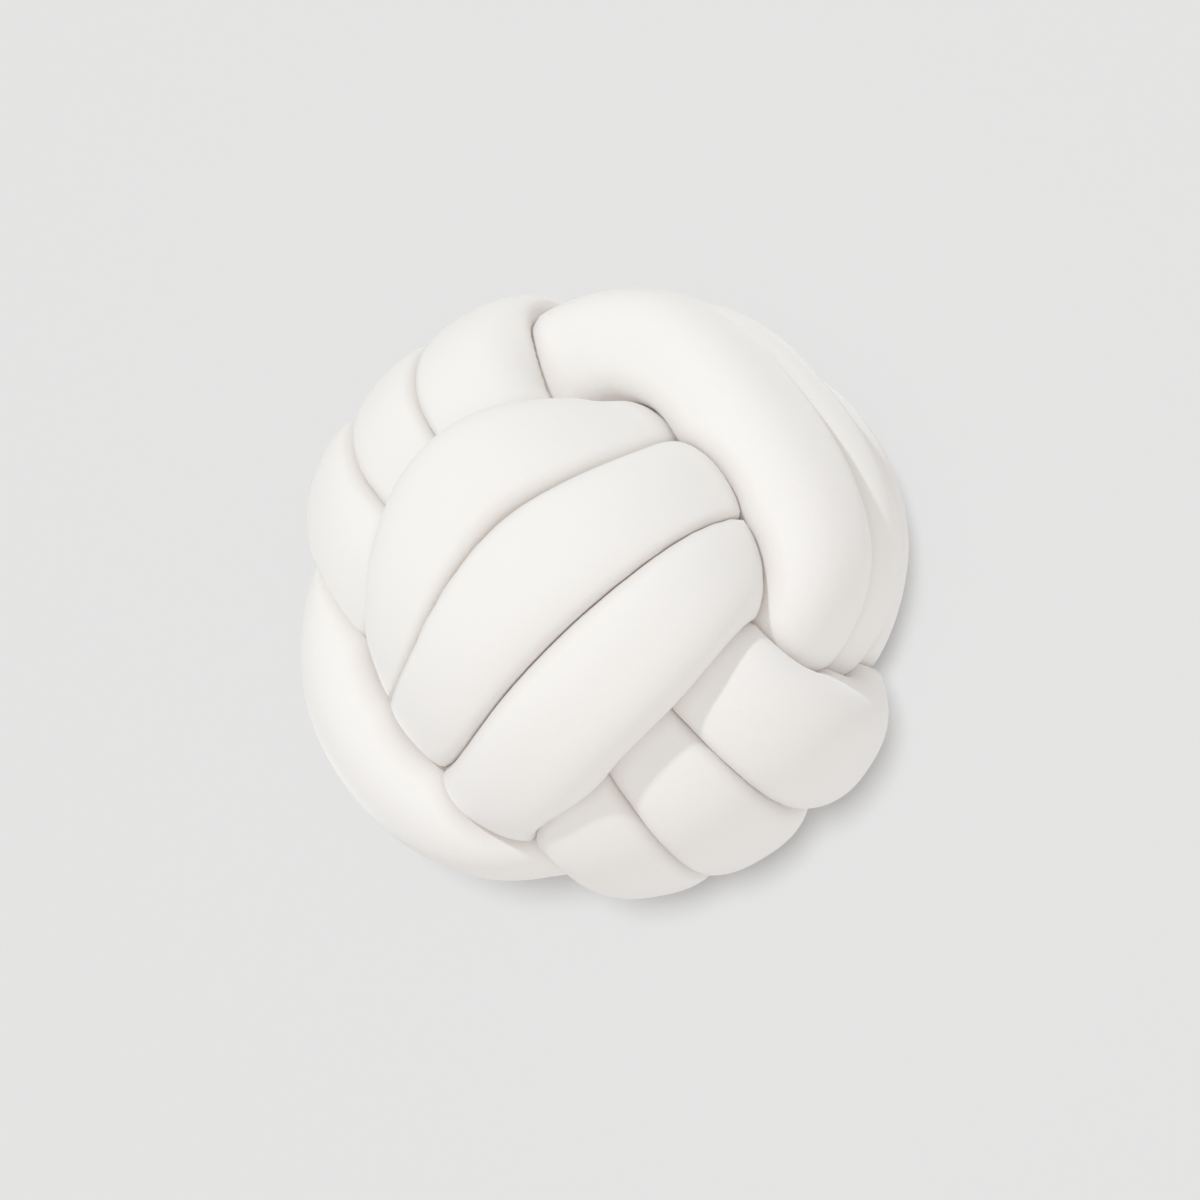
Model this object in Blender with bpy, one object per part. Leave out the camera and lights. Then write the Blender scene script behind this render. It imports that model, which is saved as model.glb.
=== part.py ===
"""A round cushion knotted from one long stuffed tube of knitted cloth.

The tube is wound three times round each of three directions, so that every group of three
passes goes over one neighbouring group and under the other. The two ends of the tube meet
inside the ball, so the cushion is one closed tube. The sizes below are millimetres, and the
finished mesh is in metres. X runs along the passes on top, Y runs across them and Z is up.
The ball rests on a small flat spot at Z = 0.
"""

from collections import namedtuple

import bpy
import numpy as np
from mathutils.bvhtree import BVHTree

MM = 0.001

# The tube
TUBE_RADIUS = 29.0  # where nothing presses on it
INNER_RADIUS = 15.0  # the room it takes where it is squeezed through the middle of the ball
OUTER_RADIUS = 28.5  # the room it takes on the outside of the ball
PASS_GAP = 1.2  # air left between two passes that lie side by side
FILL_SHARE = 1.05  # cross-section that the filling holds, as a share of the free tube's
FILL_GIVE = (0.95, 1.06)  # how far the tube may shrink or swell to hold that share
SPREAD = 1.12  # how much wider than high a pass lies on the outside of the ball
PLUMPNESS = 2.5  # 2 makes its section an ellipse, and higher fills the section's corners
SPREAD_FROM, SPREAD_TO = 75.0, 100.0  # radii between which the tube takes that section
CORNER_SHARPNESS = 12.0  # higher makes a sharper turn from a pressed side to a free one
BEND_CLEARANCE = 0.97  # keeps the inside of a tight bend from folding through itself

# The ball
FLOOR_DEPTH = 141.0  # from the ball's middle down to the flat spot
INNER_LINE = 74.0  # how far out a pass lies at most where it crosses the inside
INNER_STATION = 50.0  # how far from the middle an inside stretch starts and ends
INNER_SHIFT = 0.85  # how much of its place across the group a pass keeps inside
INNER_EASE = 0.2  # how much of that an inside stretch has taken up where it starts

# A pass over the outside runs through its middle, two shoulders and two dives. Each lies at a
# share of the pass's reach, takes a share of the end's shift and lift and the rest from the
# middle, and its centre line is this far from the ball's middle.
Station = namedtuple("Station", "reach_share end_shift end_lift line")
MIDDLE = Station(0.0, 0.0, 0.0, 122.5)
SHOULDER = Station(0.475, 0.38, 0.4, 121.5)
DIVE = Station(0.83, 0.9, 1.0, 114.0)

# The mesh
PATH_POINTS = 480
NEAR_PATH_POINTS = 960
RINGS = 372
SIDES = 16
EVEN_SHARE, BEND_SHARE = 0.03, 1.2  # how strongly rings gather at bends
HIDDEN_WITHIN, SEEN_BEYOND = 70.0, 90.0  # radii between which the tube goes out of sight
HIDDEN_SHARE = 1.0  # higher puts more rings where the tube is out of sight

BEND_AVERAGING = 6  # how often the bend is evened out along the tube

LEAST_GAP = 0.8  # between the faces of two passes
EASE_ROUNDS, EASE_STEP = 80, 0.985  # how the cloth is drawn in to keep that gap

# Settling of the hidden stretches
SETTLE_STEPS = 300
SAME_STRETCH = 85.0  # points nearer than this along the tube don't push each other
PUSH = 0.5  # share of an overlap that one step clears
ROOM_FROM, ROOM_TO = 64.0, 115.0  # radii between which the tube takes up its full room
HOLD_INSIDE, HOLD_OUTSIDE = 0.008, 0.25  # how strongly the path is drawn back to its stations
STIFF_FROM, STIFF_TO = 79.0, 100.0  # radii between which the outside takes over
STIFFNESS = 0.92  # share of a push that the outside withstands
SMOOTHING, ANTI_SHRINK = 0.30, 0.25

# The press of one pass on another
OWN_BEND = 12.0  # points nearer than this along the tube are the same place
OTHER_PASS = 55.0  # points farther than this along the tube are another pass
PRESS_WITHIN = 95.0  # no pass farther off than this can press
LEAST_RADIUS = 6.0  # on the inside of a tight bend
UNPRESSED = 1000.0
FILL_ROUNDS, FILL_RATE, FILL_AVERAGING = 7, 0.35, 5  # how the filling spreads along the tube

# One row for each pass over the outside. "in" is the end at the low side of the running axis
# and "out" the end at the high side. Shift is the place across the group, reach is how far
# the pass runs before it turns in, and lift raises it from the ball's even surface.
Pass = namedtuple(
    "Pass", "shift_in shift_mid shift_out reach_in reach_out lift_in lift_mid lift_out"
)
TOP = (
    Pass(5, 52, 23, 76, 60, -4, 0, -28),
    Pass(-12, -2, -10, 78, 67, 0, 0, -12),
    Pass(-56, -49, -35, 79, 59, 2, 0, -6),
)
BOTTOM = (
    Pass(45, 56, 45, 76, 76, 0, 6, 0),
    Pass(0, 0, 0, 76, 76, 0, -6, 0),
    Pass(-45, -56, -45, 76, 76, 0, 6, 0),
)
RIGHT = (
    Pass(44, 50, 22, 76, 95, 0, -4, 9.5),
    Pass(-8, -7, -20, 76, 82, 0, -6, 8),
    Pass(-55, -64, -58, 76, 76, 2, 8.5, 0),
)
LEFT = (
    Pass(28, 42, 44, 76, 76, 4, 4, 0),
    Pass(-12, -12, -6, 76, 76, 0, 0, 0),
    Pass(-54, -64, -52, 76, 76, 0, 0, 0),
)
BACK = (
    Pass(45, 38, 9, 76, 74, 0, 0, 0),
    Pass(-6, -8, -22, 76, 74, 0, 0, 0),
    Pass(-52, -50, -62, 76, 74, 0, 1.5, 0),
)
FRONT = (
    Pass(45, 38, 26, 76, 76, 0, 0, 0),
    Pass(-8, -17, -11, 76, 76, 0, -4, 0),
    Pass(-50, -55, -53, 76, 76, 0, -5, 0),
)
# Each group's two faces, and the columns of (outward, running, across) that hold X, Y and Z.
Group = namedtuple("Group", "high_face low_face xyz_columns")
GROUPS = (
    Group(TOP, BOTTOM, (1, 2, 0)),
    Group(RIGHT, LEFT, (0, 1, 2)),
    Group(BACK, FRONT, (2, 0, 1)),
)
# The stretch that leads from a group's last pass to the next group's first one. It starts with
# this share of the last pass's shift, moved over by the second number.
LEAD_START = (0.55, -18.0)
LEAD_STATIONS = ((-8, -69, -44), (40, -50, -58), (36, 8, -73))


def outer_stations(row, side, forwards):
    """The centre line over the outside, as (outward, running, across) in travel order."""
    low = (-row.reach_in, row.shift_in, row.lift_in)
    high = (row.reach_out, row.shift_out, row.lift_out)
    route = ((DIVE, low), (SHOULDER, low), (MIDDLE, low), (SHOULDER, high), (DIVE, high))
    stations = []
    for station, (reach, shift, lift) in route:
        running = station.reach_share * reach
        across = row.shift_mid + station.end_shift * (shift - row.shift_mid)
        line = station.line + row.lift_mid + station.end_lift * (lift - row.lift_mid)
        outward = (line**2 - running**2 - across**2) ** 0.5
        stations.append((side * outward, running, across))
    return stations if forwards else stations[::-1]


def inner_stations(side, reaches, shifts):
    """The centre line through the inside, from the high face to the low one."""
    middle = INNER_SHIFT * sum(shifts) / 2
    start, end = (shift + INNER_EASE * (middle - shift) for shift in shifts)
    deepest = min(sum(reaches) / 2, INNER_LINE)
    return [
        (INNER_STATION, side * reaches[0], start),
        (0, side * deepest, middle),
        (-INNER_STATION, side * reaches[1], end),
    ]


def group_stations(group):
    """The three turns of one group, and the lead to the next group."""
    stations = []
    for turn, (high, low) in enumerate(zip(group.high_face, group.low_face)):
        if turn:
            back = inner_stations(
                -1, (high.reach_in, before.reach_in), (high.shift_in, before.shift_in)
            )
            stations += back[::-1]
        stations += outer_stations(high, 1, True)
        stations += inner_stations(
            1, (high.reach_out, low.reach_out), (high.shift_out, low.shift_out)
        )
        stations += outer_stations(low, -1, False)
        before = low
    kept, moved = LEAD_START
    stations.append((-INNER_STATION, -low.reach_in, kept * low.shift_in + moved))
    stations += LEAD_STATIONS
    return np.array(stations, float)[:, group.xyz_columns]


def smooth_loop(stations, steps=24):
    """A closed centripetal Catmull-Rom curve through the stations."""
    before, start = np.roll(stations, 1, 0), stations
    end, after = np.roll(stations, -1, 0), np.roll(stations, -2, 0)

    def knot_span(first, second):
        return np.linalg.norm(second - first, axis=1) ** 0.5

    t1 = knot_span(before, start)
    t2 = t1 + knot_span(start, end)
    t3 = t2 + knot_span(end, after)
    share = np.arange(steps) / steps
    t = t1[:, None] + (t2 - t1)[:, None] * share
    t1, t2, t3, t = (value[..., None] for value in (t1[:, None], t2[:, None], t3[:, None], t))
    before, start, end, after = (p[:, None] for p in (before, start, end, after))
    a1 = ((t1 - t) * before + t * start) / t1
    a2 = ((t2 - t) * start + (t - t1) * end) / (t2 - t1)
    a3 = ((t3 - t) * end + (t - t2) * after) / (t3 - t2)
    b1 = ((t2 - t) * a1 + t * a2) / t2
    b2 = ((t3 - t) * a2 + (t - t1) * a3) / (t3 - t1)
    return (((t2 - t) * b1 + (t - t1) * b2) / (t2 - t1)).reshape(-1, 3)


def spaced_loop(loop, count, weight=None):
    """The loop with this many points at even steps, or at even steps of a weight."""
    steps = np.linalg.norm(np.roll(loop, -1, 0) - loop, axis=1)
    if weight is not None:
        steps = steps * weight
    marks = np.concatenate([[0.0], np.cumsum(steps)])
    places = np.arange(count) / count * marks[-1]
    closed = np.vstack([loop, loop[:1]])
    return np.stack([np.interp(places, marks, column) for column in closed.T], axis=1)


def ramp(value, low, high):
    share = np.clip((value - low) / (high - low), 0, 1)
    return share * share * (3 - 2 * share)


def loop_average(values):
    return 0.5 * (np.roll(values, 1, 0) + np.roll(values, -1, 0))


def settle(path):
    """Pushes hidden stretches apart until the squeezed tube has room, and keeps the outside."""
    rest = path.copy()
    count = len(path)
    step = np.linalg.norm(np.roll(path, -1, 0) - path, axis=1).mean()
    index = np.arange(count)
    apart = np.abs(index[:, None] - index[None])
    others = np.minimum(apart, count - apart) * step > SAME_STRETCH
    stiff = ramp(np.linalg.norm(rest, axis=1), STIFF_FROM, STIFF_TO)[:, None]
    hold = HOLD_INSIDE + (HOLD_OUTSIDE - HOLD_INSIDE) * stiff
    for _ in range(SETTLE_STEPS):
        away = path[:, None] - path[None]
        distance = np.linalg.norm(away, axis=2) + 1e-9
        outside = ramp(np.linalg.norm(path, axis=1), ROOM_FROM, ROOM_TO)
        room = INNER_RADIUS + (OUTER_RADIUS - INNER_RADIUS) * outside
        overlap = np.where(others, np.maximum(room[:, None] + room - distance, 0), 0)
        push = (away * (overlap / distance)[..., None]).sum(axis=1)
        touching = np.maximum((overlap > 0).sum(axis=1), 1)[:, None]
        path = path + PUSH * push / touching * (1 - STIFFNESS * stiff)
        bend = loop_average(path) - path
        path = path + SMOOTHING * bend - ANTI_SHRINK * (loop_average(bend) - bend)
        path = path + hold * (rest - path)
    return spaced_loop(path, count)


def unit(vectors):
    return vectors / np.linalg.norm(vectors, axis=-1, keepdims=True)


def rings_along(path, count):
    """Ring centres, closer together where the tube bends."""
    direction = unit(np.roll(path, -1, 0) - np.roll(path, 1, 0))
    step = np.linalg.norm(np.roll(path, -1, 0) - path, axis=1)
    bend = np.linalg.norm(np.roll(direction, -1, 0) - direction, axis=1) / step
    for _ in range(BEND_AVERAGING):
        bend = 0.5 * bend + 0.5 * loop_average(bend)
    seen = ramp(np.linalg.norm(path, axis=1), HIDDEN_WITHIN, SEEN_BEYOND)
    return spaced_loop(path, count, (EVEN_SHARE + BEND_SHARE * bend) * (HIDDEN_SHARE + seen))


def carried_frames(centres):
    """Two directions across the tube at each ring, turned as little as possible."""
    along = unit(np.roll(centres, -1, 0) - np.roll(centres, 1, 0))
    first = np.zeros_like(centres)
    first[0] = unit(np.cross(along[0], (0.0, 1.0, 0.0)))
    for i in range(1, len(centres)):
        carried = first[i - 1] - along[i] * (first[i - 1] @ along[i])
        first[i] = unit(carried)
    last = first[-1] - along[0] * (first[-1] @ along[0])
    turn = -np.arctan2(last @ np.cross(along[0], first[0]), last @ first[0])
    angle = (turn * np.arange(len(centres)) / len(centres))[:, None]
    first = first * np.cos(angle) + np.cross(along, first) * np.sin(angle)
    return first, np.cross(along, first)


def section_shape(centres, outwards):
    """The free tube's radius as a share of its height, for each ring and side: round inside the
    ball, and wider than high where it lies on the outside."""
    distance = np.linalg.norm(centres, axis=1)[:, None]
    along = unit(np.roll(centres, -1, 0) - np.roll(centres, 1, 0))
    up = centres / distance
    up = unit(up - along * (up * along).sum(axis=1)[:, None])
    height = np.abs((outwards * up[:, None]).sum(axis=2))
    width = np.sqrt(np.clip(1 - height**2, 0, 1))
    outside = ramp(distance, SPREAD_FROM, SPREAD_TO)
    power = 2 + (PLUMPNESS - 2) * outside
    spread = 1 + (SPREAD - 1) * outside
    return (height**power + (width / spread) ** power) ** (-1 / power)


def tube_radii(path, centres, outwards):
    """How far the cloth goes from each ring's centre: the free tube, or half way to the
    neighbour that presses on it."""
    nearby = spaced_loop(path, NEAR_PATH_POINTS)
    steps = np.linalg.norm(np.roll(nearby, -1, 0) - nearby, axis=1)
    marks = np.concatenate([[0.0], np.cumsum(steps)])
    length, marks = marks[-1], marks[:-1]
    limit = np.full(outwards.shape[:2], UNPRESSED)
    for i, centre in enumerate(centres):
        away = nearby - centre
        squared = (away**2).sum(axis=1)
        here = marks[np.argmin(squared)]
        along = np.abs(marks - here)
        along = np.minimum(along, length - along)
        other_pass = along > OTHER_PASS
        own_bend = (along > OWN_BEND) & ~other_pass
        for other, gap in ((other_pass, PASS_GAP), (own_bend, 0.0)):
            near = other & (squared < PRESS_WITHIN**2)
            if not near.any():
                continue
            toward = outwards[i] @ away[near].T + gap
            reach = (squared[near] - gap**2) / (2 * np.maximum(toward, 1e-6))
            nearest = reach.min(axis=1)
            if not gap:
                nearest = np.maximum(nearest * BEND_CLEARANCE, LEAST_RADIUS)
            limit[i] = np.minimum(limit[i], nearest)
    sides = outwards.shape[1]
    shape = section_shape(centres, outwards)
    free = np.full(len(centres), TUBE_RADIUS)
    wanted = np.pi * TUBE_RADIUS**2 * FILL_SHARE
    for _ in range(FILL_ROUNDS):
        power = (free[:, None] * shape) ** -CORNER_SHARPNESS + limit**-CORNER_SHARPNESS
        radii = power ** (-1 / CORNER_SHARPNESS)
        area = 0.5 * np.sin(2 * np.pi / sides) * (radii * np.roll(radii, 1, 1)).sum(axis=1)
        free = free * (wanted / area) ** FILL_RATE
        free = np.clip(free, *(TUBE_RADIUS * share for share in FILL_GIVE))
        for _ in range(FILL_AVERAGING):
            free = 0.5 * free + 0.5 * loop_average(free)
    return radii


def tube_points(centres, outwards, radii):
    return (centres[:, None] + outwards * radii[..., None]).reshape(-1, 3)


def tube_triangles(points, rings, sides):
    """Two triangles for each patch of the tube, split along its shorter diagonal."""
    ring, side = (grid.ravel() for grid in np.indices((rings, sides)))
    next_ring, next_side = (ring + 1) % rings, (side + 1) % sides
    near = ring * sides + side
    beside = ring * sides + next_side
    ahead = next_ring * sides + side
    across = next_ring * sides + next_side
    long_way = np.linalg.norm(points[across] - points[near], axis=1)
    short_way = np.linalg.norm(points[ahead] - points[beside], axis=1)
    straight = (long_way <= short_way)[:, None]
    first = np.stack([near, beside, np.where(straight[:, 0], across, ahead)], axis=1)
    second = np.where(
        straight,
        np.stack([near, across, ahead], axis=1),
        np.stack([beside, across, ahead], axis=1),
    )
    return np.concatenate([first, second])


def crossing_corners(points, triangles):
    """The corners of the triangles that cut through one they share no corner with."""
    tree = BVHTree.FromPolygons(points.tolist(), triangles.tolist(), all_triangles=True)
    pairs = np.array(tree.overlap(tree), dtype=int).reshape(-1, 2)
    first, second = triangles[pairs[:, 0]], triangles[pairs[:, 1]]
    shared = (first[:, :, None] == second[:, None]).any(axis=(1, 2))
    return np.unique(first[~shared])


def eased_apart(centres, outwards, radii):
    """The radii, drawn in wherever two passes would come nearer than the least gap."""
    radii = radii.copy()
    for _ in range(EASE_ROUNDS):
        points = tube_points(centres, outwards, radii + LEAST_GAP / 2)
        triangles = tube_triangles(points, *radii.shape)
        corners = crossing_corners(points, triangles)
        if not corners.size:
            break
        radii.reshape(-1)[corners] *= EASE_STEP
    return radii


def cloth_material():
    material = bpy.data.materials.new("off_white_knit")
    material.use_nodes = True
    shader = material.node_tree.nodes["Principled BSDF"]
    shader.inputs["Base Color"].default_value = (0.87, 0.85, 0.83, 1)
    shader.inputs["Roughness"].default_value = 0.95
    shader.inputs["Metallic"].default_value = 0
    return material


def knotted_tube():
    stations = np.vstack([group_stations(group) for group in GROUPS])
    path = settle(spaced_loop(smooth_loop(stations), PATH_POINTS))
    centres = rings_along(path, RINGS)
    first, second = carried_frames(centres)
    angle = (np.arange(SIDES) / SIDES * 2 * np.pi)[:, None]
    outwards = first[:, None] * np.cos(angle) + second[:, None] * np.sin(angle)
    radii = eased_apart(centres, outwards, tube_radii(path, centres, outwards))
    points = tube_points(centres, outwards, radii)
    triangles = tube_triangles(points, RINGS, SIDES)
    points[:, :2] -= 0.5 * (points.min(axis=0) + points.max(axis=0))[:2]
    points[:, 2] = np.maximum(points[:, 2], -FLOOR_DEPTH) + FLOOR_DEPTH
    mesh = bpy.data.meshes.new("knotted_tube")
    mesh.from_pydata((points * MM).tolist(), [], triangles.tolist())
    mesh.shade_smooth()
    mesh.materials.append(cloth_material())
    tube = bpy.data.objects.new("knotted_tube", mesh)
    bpy.context.scene.collection.objects.link(tube)
    return tube


for leftover in list(bpy.data.objects):
    bpy.data.objects.remove(leftover)
knotted_tube()
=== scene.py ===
"""Looks for a round cushion knotted from one long stuffed tube of knitted cloth.

The tube is wound three times round each of three directions, so that every group of three
passes goes over one neighbouring group and under the other. Its centre line comes from a table
with one row for each pass over the outside. Rings of cloth are set along that line, flattened
where a neighbouring pass presses on them, and puckered where a bend gathers the cloth.

The table and the tube's sizes are in millimetres. Finished meshes, the camera and the lights
are in metres, with the cushion's flat spot at Z = 0.
"""

import logging
import math
from collections.abc import Mapping
from dataclasses import dataclass, field
from enum import Enum
from typing import NamedTuple, Union

import bpy
import numpy as np
from mathutils import Matrix, Vector, noise
from mathutils.bvhtree import BVHTree


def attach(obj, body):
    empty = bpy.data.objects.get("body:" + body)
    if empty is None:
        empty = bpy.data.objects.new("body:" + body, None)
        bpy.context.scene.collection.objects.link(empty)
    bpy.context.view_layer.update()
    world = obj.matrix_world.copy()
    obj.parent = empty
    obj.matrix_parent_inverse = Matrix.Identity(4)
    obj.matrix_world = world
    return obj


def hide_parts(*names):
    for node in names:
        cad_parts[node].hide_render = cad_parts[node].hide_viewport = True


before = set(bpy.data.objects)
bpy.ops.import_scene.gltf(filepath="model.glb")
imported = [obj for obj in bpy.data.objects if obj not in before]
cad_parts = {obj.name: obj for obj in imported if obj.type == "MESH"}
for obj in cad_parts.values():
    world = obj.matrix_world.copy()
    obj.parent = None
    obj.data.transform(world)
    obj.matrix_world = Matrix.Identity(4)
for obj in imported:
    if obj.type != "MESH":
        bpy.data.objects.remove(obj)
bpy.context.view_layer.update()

MM = 0.001
PICTURE_PIXELS = 1200
LOG = logging.getLogger("knot_cushion")
# How strong each finer layer of a material's noise is beside the one before it.
LAYER_ROUGHNESS = 0.55

Array = np.ndarray
Colour = tuple[float, float, float]
Direction = tuple[float, float, float]
BLACK: Colour = (0.0, 0.0, 0.0)


class Pass(NamedTuple):
    """One pass over the outside of the ball, in millimetres.

    "in" is the end at the low side of the running axis and "out" the end at the high side.
    Shift is the place across the group, reach is how far the pass runs before it turns in, and
    lift raises it from the ball's even surface.
    """

    shift_in: float
    shift_mid: float
    shift_out: float
    reach_in: float
    reach_out: float
    lift_in: float
    lift_mid: float
    lift_out: float


class Station(NamedTuple):
    """A named place along a pass: shares of its reach and its end's values, and its height."""

    reach_share: float
    end_shift: float
    end_lift: float
    line: float


class Group(NamedTuple):
    """Three turns of the tube, by their passes on two opposite faces of the ball.

    The columns of (outward, running, across) that hold X, Y and Z are in xyz_columns.
    """

    high_face: tuple[Pass, ...]
    low_face: tuple[Pass, ...]
    xyz_columns: tuple[int, int, int]


class Side(Enum):
    """The two ends of a pass, as signs along the running axis."""

    IN = -1
    OUT = 1


MIDDLE = Station(0.0, 0.0, 0.0, 122.5)
SHOULDER = Station(0.475, 0.38, 0.4, 121.5)
DIVE = Station(0.83, 0.9, 1.0, 114.0)

TOP = (
    Pass(5, 52, 23, 76, 60, -4, 0, -28),
    Pass(-12, -2, -10, 78, 67, 0, 0, -12),
    Pass(-56, -49, -35, 79, 59, 2, 0, -6),
)
BOTTOM = (
    Pass(45, 56, 45, 76, 76, 0, 6, 0),
    Pass(0, 0, 0, 76, 76, 0, -6, 0),
    Pass(-45, -56, -45, 76, 76, 0, 6, 0),
)
RIGHT = (
    Pass(44, 50, 22, 76, 95, 0, -4, 9.5),
    Pass(-8, -7, -20, 76, 82, 0, -6, 8),
    Pass(-55, -64, -58, 76, 76, 2, 8.5, 0),
)
LEFT = (
    Pass(28, 42, 44, 76, 76, 4, 4, 0),
    Pass(-12, -12, -6, 76, 76, 0, 0, 0),
    Pass(-54, -64, -52, 76, 76, 0, 0, 0),
)
BACK = (
    Pass(45, 38, 9, 76, 74, 0, 0, 0),
    Pass(-6, -8, -22, 76, 74, 0, 0, 0),
    Pass(-52, -50, -62, 76, 74, 0, 1.5, 0),
)
FRONT = (
    Pass(45, 38, 26, 76, 76, 0, 0, 0),
    Pass(-8, -17, -11, 76, 76, 0, -4, 0),
    Pass(-50, -55, -53, 76, 76, 0, -5, 0),
)
GROUPS = (
    Group(TOP, BOTTOM, (1, 2, 0)),
    Group(RIGHT, LEFT, (0, 1, 2)),
    Group(BACK, FRONT, (2, 0, 1)),
)
# The stretch that leads from a group's last pass to the next group's first one. It starts with
# this share of the last pass's shift, moved over by the second number.
LEAD_START = (0.55, -18.0)
LEAD_STATIONS = ((-8, -69, -44), (40, -50, -58), (36, 8, -73))


def ramp(value: Array, low: float, high: float) -> Array:
    """An eased step.

    Args:
        value: The numbers to step.
        low: Where the step starts, at 0.
        high: Where it ends, at 1.

    Returns:
        Numbers from 0 to 1.
    """
    share = np.clip((value - low) / (high - low), 0, 1)
    return share * share * (3 - 2 * share)


def loop_average(values: Array) -> Array:
    """The mean of each row's two neighbours on a closed loop."""
    return 0.5 * (np.roll(values, 1, 0) + np.roll(values, -1, 0))


def unit(vectors: Array) -> Array:
    """The vectors at length 1."""
    return vectors / np.linalg.norm(vectors, axis=-1, keepdims=True)


def loop_steps(loop: Array) -> Array:
    """The distance from each point of a closed loop to the next one."""
    return np.linalg.norm(np.roll(loop, -1, 0) - loop, axis=1)


def smooth_loop(stations: Array, steps: int = 24) -> Array:
    """A closed centripetal Catmull-Rom curve through the stations.

    Args:
        stations: The points to pass through, one a row.
        steps: Points to make for each station.

    Returns:
        The curve's points.
    """
    before, start = np.roll(stations, 1, 0), stations
    end, after = np.roll(stations, -1, 0), np.roll(stations, -2, 0)

    def knot_span(first: Array, second: Array) -> Array:
        """The parameter step between two neighbouring stations."""
        return np.linalg.norm(second - first, axis=1) ** 0.5

    t1 = knot_span(before, start)
    t2 = t1 + knot_span(start, end)
    t3 = t2 + knot_span(end, after)
    share = np.arange(steps) / steps
    t = t1[:, None] + (t2 - t1)[:, None] * share
    t1, t2, t3, t = (value[..., None] for value in (t1[:, None], t2[:, None], t3[:, None], t))
    before, start, end, after = (p[:, None] for p in (before, start, end, after))
    a1 = ((t1 - t) * before + t * start) / t1
    a2 = ((t2 - t) * start + (t - t1) * end) / (t2 - t1)
    a3 = ((t3 - t) * end + (t - t2) * after) / (t3 - t2)
    b1 = ((t2 - t) * a1 + t * a2) / t2
    b2 = ((t3 - t) * a2 + (t - t1) * a3) / (t3 - t1)
    return (((t2 - t) * b1 + (t - t1) * b2) / (t2 - t1)).reshape(-1, 3)


def spaced_loop(loop: Array, count: int, weight: Union[Array, None] = None) -> Array:
    """Points at even steps round a closed loop, or at even steps of a weight.

    Args:
        loop: The loop's points.
        count: How many points to make.
        weight: How closely to set points at each point of the loop.

    Returns:
        The new points.
    """
    steps = loop_steps(loop)
    if weight is not None:
        steps = steps * weight
    marks = np.concatenate([[0.0], np.cumsum(steps)])
    places = np.arange(count) / count * marks[-1]
    closed = np.vstack([loop, loop[:1]])
    return np.stack([np.interp(places, marks, column) for column in closed.T], axis=1)


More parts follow.
